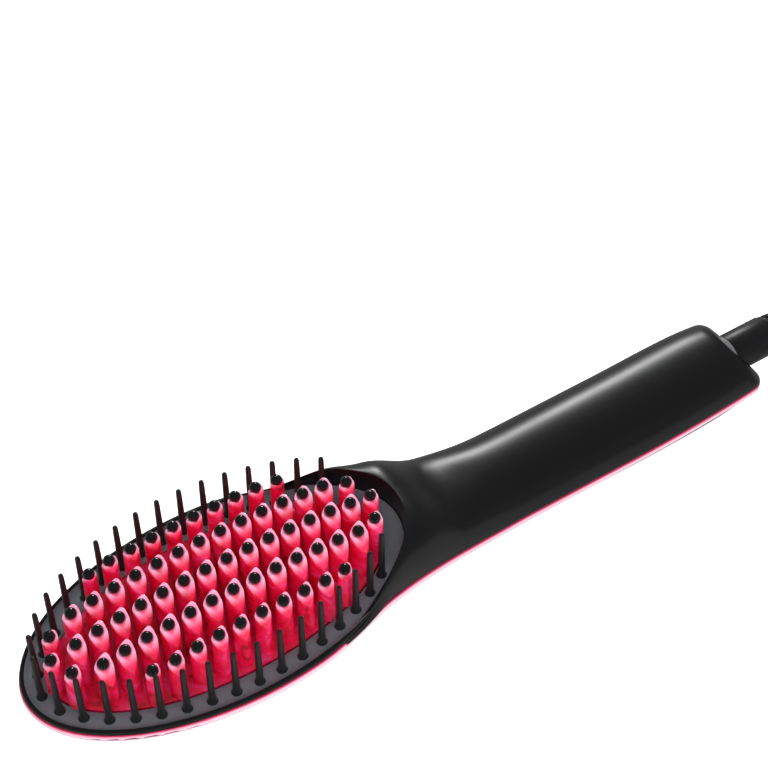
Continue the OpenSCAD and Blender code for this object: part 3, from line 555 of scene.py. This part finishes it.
bandGrid = bandRows()
trimBand = gridPiece("trimBand", bandGrid)
across = trimBand.data.attributes.new("acrossBand", "FLOAT", "POINT")
across.data.foreach_set("value", [tint for out, down, tint in bandShape] * len(bandGrid))
finishPiece(trimBand, "brush", bandPink, 60, ["trim_band"])
print("band ready")


def ovalRow(a, b, x, z):
    # a closed oval with a point every 3 degrees
    turns = [math.radians(3 * i) for i in range(121)]
    return [(x + a * math.cos(t), b * math.sin(t), z) for t in turns]


# pin frame: a dished ring of ovals; the profile holds shares of the way out, and heights
ringShape = {"innerA": 61.55, "innerB": 28.5, "innerX": -1.0, "outerA": 68.65, "outerB": 36.85, "outerX": -1.3,
             "profile": [(0.02, -1.9), (0, -1.7), (0, -0.3), (0.02, -0.08), (0.07, 0), (0.3, 0), (0.58, 0.01),
                         (0.7, 0.08), (0.8, 0.36), (0.9, 0.9), (0.96, 1.38), (0.99, 1.5), (1, 1.35), (1, 0.95),
                         (0.88, 0.8), (0.88, -1.5), (0.74, -1.9), (0.02, -1.9)]}


def ringRows():
    rows = []
    for share, z in ringShape["profile"]:
        a, b, x = (mix(ringShape["inner" + key], ringShape["outer" + key], share) for key in "ABX")
        rows.append(ovalRow(a, b, x, z))
    return rows


pinFrame = joined("pinFrame", [gridPiece("pinFrameRing", ringRows())])
finishPiece(pinFrame, "brush", frameGrey, 40, ["pin_frame"])


def copiesAt(name, pattern, places, adjust=None):
    # each copy has its own mesh; the pattern itself is removed afterwards
    made = []
    for place in places:
        item = pattern.copy()
        item.data = pattern.data.copy()
        bpy.context.collection.objects.link(item)
        if adjust:
            adjust(item, place)
        item.data.transform(Matrix.Translation(Vector(place[:3]) / 1000))
        made.append(item)
    bpy.data.objects.remove(pattern)
    pick(*made)
    ops.object.join()
    bpy.context.object.name = name
    return bpy.context.object


# cool pins: squarish stems that flare at the foot; the profile holds heights and shares of the radius
pinShape = {"thick": 2.1, "tall": 22.7, "pitch": 8.2, "pairs": 16, "sides": 16, "turn": 0.2, "squareAbove": 2.5,
            "a": 64.725, "b": 32.7, "x": -1.3, "power": 1.87, "search": 0.0005,
            "foot": [(-0.3, 1.9), (0.0, 1.8), (0.25, 1.6), (0.9, 1.34), (2.0, 1.14), (4, 1.02), (9, 0.98),
                     (16, 0.9), (20.5, 0.84)],
            "tip": [(-0.9, 0.8), (-0.4, 0.7), (-0.12, 0.48), (0, 0.22), (0.02, 0.001)]}


def pinSpot(t):
    c, s = math.cos(t), math.sin(t)
    power = 2 / pinShape["power"]
    return (pinShape["x"] + math.copysign(abs(c) ** power, c) * pinShape["a"],
            math.copysign(abs(s) ** power, s) * pinShape["b"])


def pinPlaces():
    # one pin at the tip, then pairs at an even pitch along both sides
    t, here = math.pi, pinSpot(math.pi)
    places = [(*here, 0)]
    for i in range(pinShape["pairs"]):
        while math.dist(pinSpot(t), here) < pinShape["pitch"]:
            t -= pinShape["search"]
        here = pinSpot(t)
        places += [(here[0], here[1], 0), (here[0], -here[1], 0)]
    return places


def pinRows():
    r, tall, sides = pinShape["thick"] / 2, pinShape["tall"], pinShape["sides"]
    rows = []
    for z, k in pinShape["foot"] + [(tall + z, k) for z, k in pinShape["tip"]]:
        row = []
        for i in range(sides + 1):
            a = 2 * math.pi * i / sides + pinShape["turn"]
            c, s = math.cos(a), math.sin(a)
            q = (abs(c) ** 3 + abs(s) ** 3) ** (-1 / 3) if z > pinShape["squareAbove"] else 1
            row.append((r * k * q * c, r * k * q * s, z))
        rows.append(row)
    return rows


pinPattern = joined("pinPattern", [gridPiece("pinStem", pinRows())])
coolPins = copiesAt("coolPins", pinPattern, pinPlaces())
finishPiece(coolPins, "brush", pinGrey, 50, ["cool_pins"])
print("pin frame and pins ready")


# leaf-shaped studs in staggered rows on the heated plate; the profile holds shares of the leaf, and depths
studShape = {"pitch": 7.8, "rowGap": 11.1, "start": -36.1, "near": 5.1, "far": 3.9, "halfWide": 3.05, "lean": 2.3,
             "plump": 0.75, "leanPower": 1.6,
             "low": 10.8, "crown": 6.8, "arch": 5.2, "crownReach": 63.45, "archReach": 32.1, "points": 40,
             "profile": [(0.001, -1.9), (0.3, -1.85), (0.52, -1.35), (0.62, -0.95), (0.8, -0.8), (0.93, -0.74),
                         (0.985, -0.86), (1.0, -1.15), (1.015, -2.4), (1.04, -5.0), (1.08, -8.5), (1.13, -10.0)],
             "topDepth": 2.4, "midShare": 0.3, "lowShare": 0.7, "root": 0.6, "tilt": -0.03, "tiltGain": 0.011,
             "sideTilt": 0.03, "tongueFrom": 1.3, "tongueDrop": 1.15, "tonguePower": 1.1, "narrow": 0.35}
facetShape = {"pale": (0.95, 2.2), "deep": 2.3, "ridge": 1.2, "fading": (1.4, 3.8), "fade": 0.95}


def studPlaces():
    # steps along, rows aside and share of the leaf's length; the outer rows are shorter
    spots = [(k, 0, 1) for k in range(-2, 12)]
    spots += [(k - 0.5, s, 1) for k in range(-1, 12) for s in (-1, 1)]
    spots += [(k, 2 * s, 0.7) for k in range(1, 9) for s in (-1, 1)]
    spots += [(k, 1.93 * s, 0.5) for k in (0, 9) for s in (-1, 1)]
    spots += [(-2.7, 0.71, 0.7), (-2.7, -0.71, 0.7), (-3.15, 0, 0.7), (11.5, 0.8, 0.7), (11.5, -0.8, 0.7),
              (12, 0, 0.7)]
    found = []
    for k, row, share in spots:
        x, y = studShape["start"] + studShape["pitch"] * k, studShape["rowGap"] * row
        crown = studShape["crown"] * (1 - (x / studShape["crownReach"]) ** 2)
        arch = studShape["arch"] * (1 - (y / studShape["archReach"]) ** 2)
        found.append((x, y, studShape["low"] + crown + arch, share))
    return found


def leafEdge(k, grow):
    # k from 0 to 1 round the leaf, from the near tip; the far half leans towards the handle
    t = -1 + 4 * k if k <= 0.5 else 3 - 4 * k
    side = 1 if k <= 0.5 else -1
    wide = side * studShape["halfWide"] * (1 - t * t) ** studShape["plump"]
    along = studShape["far"] * t if t > 0 else studShape["near"] * t
    return grow * (wide + studShape["lean"] * max(0, t) ** studShape["leanPower"]), grow * along


def studRows():
    # the cup that holds the bead, the facet round it, the rim and the flanks
    points = studShape["points"]
    return [[(*leafEdge(i / points, grow), z) for i in range(points + 1)] for grow, z in studShape["profile"]]


def seatStud(item, place):
    # the flanks reach down to the plate, and the near tip slopes off as a tongue
    x0, y0, high, share = place
    tilt = studShape["tilt"] - studShape["tiltGain"] * y0
    foot = studShape["root"] - high
    mid, last = studShape["profile"][-3][1], studShape["profile"][-1][1]
    for vert in item.data.vertices:
        here = vert.co * 1000
        down = max(0, -here.y * share - studShape["tongueFrom"])
        tongue = studShape["tongueDrop"] * down ** studShape["tonguePower"]
        top = tilt * here.y + studShape["sideTilt"] * here.x - tongue
        if here.z < last + 0.1:
            here.z = foot
        elif here.z < mid + 0.1:
            fall = studShape["midShare"] if here.z > mid - 1 else studShape["lowShare"]
            here.z = mix(top - studShape["topDepth"], foot, fall)
        else:
            here.z += top
        here.y *= share
        here.x *= mix(1, share, studShape["narrow"])
        vert.co = here / 1000


def paleAt(here):
    high = 1 - ease(-here.z, *facetShape["pale"])
    onTop = high if here.z > -facetShape["deep"] or abs(here.x) < facetShape["ridge"] else 0
    return max(0, onTop) * (1 - facetShape["fade"] * ease(-here.y, *facetShape["fading"]))


places = studPlaces()
studPattern = joined("studPattern", [gridPiece("studLeaf", studRows())])
studPattern.data.transform(Matrix.Translation(-shift / 1000))
facet = studPattern.data.attributes.new("facet", "FLOAT", "POINT")
for i, vert in enumerate(studPattern.data.vertices):
    facet.data[i].value = paleAt(vert.co * 1000)
studs = copiesAt("heatedStuds", studPattern, places, seatStud)
studs.data.transform(Matrix.Translation(shift / 1000))
finishPiece(studs, "brush", studRed, 40, ["heating_studs"])


# the plate is slightly crowned and falls off at its rim; the profile holds shares of the way out, and heights
plateShape = {"a": 61.05, "b": 28.0, "x": -1.0,
              "profile": [(0.001, 0.9), (0.3, 0.85), (0.6, 0.75), (0.9, 0.6), (0.985, 0.5), (1.0, 0.2),
                          (1.0, -2.2)]}
plateRows = [ovalRow(plateShape["a"] * share, plateShape["b"] * share, plateShape["x"], z)
             for share, z in plateShape["profile"]]
heatedPlate = joined("heatedPlate", [gridPiece("plateOval", plateRows)])
finishPiece(heatedPlate, "brush", plateRed, 40, ["heating_plate"])


# black bead on each stud
beadShape = {"radius": 2.05, "stemShare": 0.55, "stemDepth": 1.1,
             "rings": (-52, -38, -22, -6, 10, 26, 42, 56, 68, 79, 89.9)}


def beadRows():
    r = beadShape["radius"]
    rings = [(r * beadShape["stemShare"], -r * beadShape["stemDepth"])]
    rings += [(r * math.cos(math.radians(a)), r * math.sin(math.radians(a))) for a in beadShape["rings"]]
    turns = [math.radians(20 * i) for i in range(19)]
    return [[(wide * math.cos(t), wide * math.sin(t), z) for t in turns] for wide, z in rings]


beadPattern = joined("beadPattern", [gridPiece("beadBall", beadRows())])
beads = copiesAt("tipBeads", beadPattern, places)
finishPiece(beads, "brush", beadBlack, 60, ["tip_beads"])
print("plate, studs and beads ready")


# CAD pieces whose shape is right: a merged copy with rounded edges
rounding = {"merge": 0.000002, "flat": 0.5, "sharp": 30}


def roundedCopy(node, name, body, slot, material, width, smooth=30, segments=2):
    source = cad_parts[node]
    piece = source.copy()
    piece.data = source.data.copy()
    piece.parent = None
    piece.matrix_world = source.matrix_world
    bpy.context.collection.objects.link(piece)
    piece.name = name
    pick(piece)
    ops.object.transform_apply(location=True, rotation=True, scale=True)
    ops.object.mode_set(mode="EDIT")
    ops.mesh.select_all(action="SELECT")
    ops.mesh.remove_doubles(threshold=rounding["merge"])
    ops.mesh.dissolve_limited(angle_limit=math.radians(rounding["flat"]))
    ops.object.mode_set(mode="OBJECT")
    edges = piece.modifiers.new("edges", "BEVEL")
    edges.width, edges.segments = width / 1000, segments
    edges.limit_method, edges.angle_limit = "ANGLE", math.radians(rounding["sharp"])
    edges.use_clamp_overlap = True
    applyAll(piece)
    return finishPiece(piece, body, material, smooth, [node])


roundedPieces = [("control_panel", "controlPanel", "brush", "silver_panel", panelSilver, 0.12),
                 ("display_window", "displayScreen", "brush", "dark_glass", screenWhite, 0.1),
                 ("plus_button", "plusKey", "plus_key", "black_casing", keyBlack, 0.5, 30, 3),
                 ("minus_button", "minusKey", "minus_key", "black_casing", keyBlack, 0.5, 30, 3),
                 ("power_button", "powerKey", "power_key", "black_casing", keyBlack, 0.4, 30, 3),
                 ("swivel_collar", "swivelCollar", "swivel", "black_casing", reliefBlack, 0.3),
                 ("strain_relief", "strainRelief", "swivel", "black_rubber", reliefBlack, 0.1, 25, 1),
                 ("cord_ties", "cordTies", "brush", "black_rubber", cordBlack, 0.4),
                 ("plug_body", "plugBody", "brush", "black_rubber", plugBlack, 0.8, 30, 3),
                 ("plug_pins", "plugPins", "brush", "plated_brass", pinNickel, 0.5, 30, 3)]
rounded = {row[1]: roundedCopy(*row) for row in roundedPieces}


# mains cord, from the relief through the coil to the plug
cordShape = {"thick": 5.5, "coilX": 277, "coilY": -8, "radius": 33, "pitch": 6.2, "base": 4, "turns": 7.5,
             "stepsPerTurn": 24, "climbs": (2, 4, 6), "climbTurns": 0.5, "startTurn": 90,
             "lead": [(173.3, 0, 19.25), (180, 0, 19.25), (186, 0.3, 19), (193, 1.5, 18.2), (201, 4, 16.6),
                      (210, 8, 14.2), (219, 13, 11.4), (228, 18.2, 8.8), (237, 22.8, 6.6), (246, 26.6, 5.1),
                      (255, 29.3, 4.3), (264, 30.8, 4), (271, 31.2, 4)],
             "tail": [(271, -44.1, 22.6), (264, -44.2, 22.1), (257, -44.4, 20.6), (250, -44.6, 18.2),
                      (243, -44.8, 15.2), (236, -44.9, 12.2), (229, -44.7, 9.6), (222, -44.4, 7.9),
                      (216, -44.7, 7.4), (210, -45, 7.4)]}


def coilRoute():
    # layers of two turns, wound inwards and outwards in turn, with a climb between them
    steps = cordShape["stepsPerTurn"]
    coil = []
    for i in range(int(cordShape["turns"] * steps) + 1):
        u = i / steps
        layer = int(u // 2)
        s = u - 2 * layer
        inward = 1 - s if layer % 2 == 0 else s - 1
        half = cordShape["climbTurns"] / 2
        climb = sum(min(max((u - m + half) / cordShape["climbTurns"], 0), 1) for m in cordShape["climbs"])
        r = cordShape["radius"] + cordShape["pitch"] * inward
        a = math.radians(cordShape["startTurn"] - 360 * u)
        coil.append((cordShape["coilX"] + r * math.cos(a), cordShape["coilY"] + r * math.sin(a),
                     cordShape["base"] + cordShape["pitch"] * climb))
    return coil


route = [Vector(p) / 1000 for p in cordShape["lead"] + coilRoute() + cordShape["tail"]]
deselect()
ops.curve.primitive_bezier_curve_add()
cord = bpy.context.object
cord.name = "mainsCord"
cord.data.splines.clear()
spline = cord.data.splines.new("POLY")
spline.points.add(len(route) - 1)
for point, here in zip(spline.points, route):
    point.co = (*here, 1)
cord.data.bevel_depth = cordShape["thick"] / 2000
cord.data.bevel_resolution = 5
cord.data.use_fill_caps = True
cord.data.materials.append(cordBlack)
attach(cord, "brush")
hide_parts("cord_lead", "cord_coil", "cord_tail")
print("cord ready")


# inner pieces keep their CAD shape
innerFinish = [(ceramicTan, ["heater_elements", "thermistor"]), (wireCream, ["heater_leads", "mains_leads"]),
               (innerSteel, ["heater_straps", "strap_screws", "thermal_fuse", "shell_screws", "board_screws"]),
               (partGrey, ["lcd_module", "tact_switches", "swivel_bush"]), (boardGreen, ["circuit_board"]),
               (partWhite, ["power_relay"]), (partBlue, ["supply_capacitor"]), (lensClear, ["led_lens"])]
for mat, names in innerFinish:
    for name in names:
        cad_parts[name].data.materials.clear()
        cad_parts[name].data.materials.append(mat)
print("inner pieces ready")


# pale floor, white surroundings and soft light; what the gloss mirrors is darker than what it stands on
stage = {"size": 6, "floorZ": -0.0005, "floor": 0.92, "floorGlow": 0.6, "floorMirrored": 0.25, "sky": 0.85,
         "skyMirrored": 0.1}


def byRay(nodes, links, ray, common, special):
    return addRange(nodes, links, nodes.new("ShaderNodeLightPath").outputs[ray], common, special)


def makeFloor():
    deselect()
    ops.mesh.primitive_plane_add(size=stage["size"], location=(0, 0, stage["floorZ"]))
    floor = bpy.context.object
    floor.name = "paleFloor"
    mat, nodes, links, shader = newMaterial("paleFloor", (1, 1, 1), 1.0, Specular_IOR_Level=0.0,
                                            Emission_Color=(1, 1, 1, 1))
    shade = nodes.new("ShaderNodeCombineColor")
    paint = byRay(nodes, links, "Is Glossy Ray", stage["floor"], stage["floorMirrored"])
    for channel in ("Red", "Green", "Blue"):
        links.new(paint, shade.inputs[channel])
    links.new(shade.outputs["Color"], shader.inputs["Base Color"])
    links.new(byRay(nodes, links, "Is Camera Ray", 0.0, stage["floorGlow"]), shader.inputs["Emission Strength"])
    floor.data.materials.append(mat)


def makeSky():
    world = bpy.data.worlds.new("softWorld")
    bpy.context.scene.world = world
    world.use_nodes = True
    nodes, links = world.node_tree.nodes, world.node_tree.links
    sky = nodes["Background"]
    sky.inputs["Color"].default_value = (1, 1, 1, 1)
    links.new(byRay(nodes, links, "Is Glossy Ray", stage["sky"], stage["skyMirrored"]), sky.inputs["Strength"])


lamps = [{"name": "keyLamp", "spot": (-0.4, -0.6, 1.3), "aim": (-0.05, 0, 0), "size": (0.7, 0.7), "power": 9,
          "mirrored": False},
         {"name": "handleStrip", "spot": (0.5, 0.8, 0.5), "aim": (0.06, 0.005, 0.03), "size": (0.2, 0.07),
          "power": 3.4, "mirrored": True},
         {"name": "frontLamp", "spot": (0.35, -0.75, 0.4), "aim": (-0.1, 0, 0.03), "size": (0.3, 0.3), "power": 3,
          "mirrored": False}]


def addLamp(name, spot, aim, size, power, mirrored):
    deselect()
    ops.object.light_add(type="AREA", location=spot)
    lamp = bpy.context.object
    lamp.name = name
    lamp.data.shape = "RECTANGLE"
    lamp.data.size, lamp.data.size_y = size
    lamp.data.energy = power
    lamp.visible_glossy = mirrored
    away = (Vector(spot) - Vector(aim)).normalized()
    up = away.cross(Vector((1, 0, 0))).normalized()
    lamp.rotation_euler = Matrix((up.cross(away), up, away)).transposed().to_euler()


makeFloor()
makeSky()
for lamp in lamps:
    addLamp(**lamp)
print("stage ready")
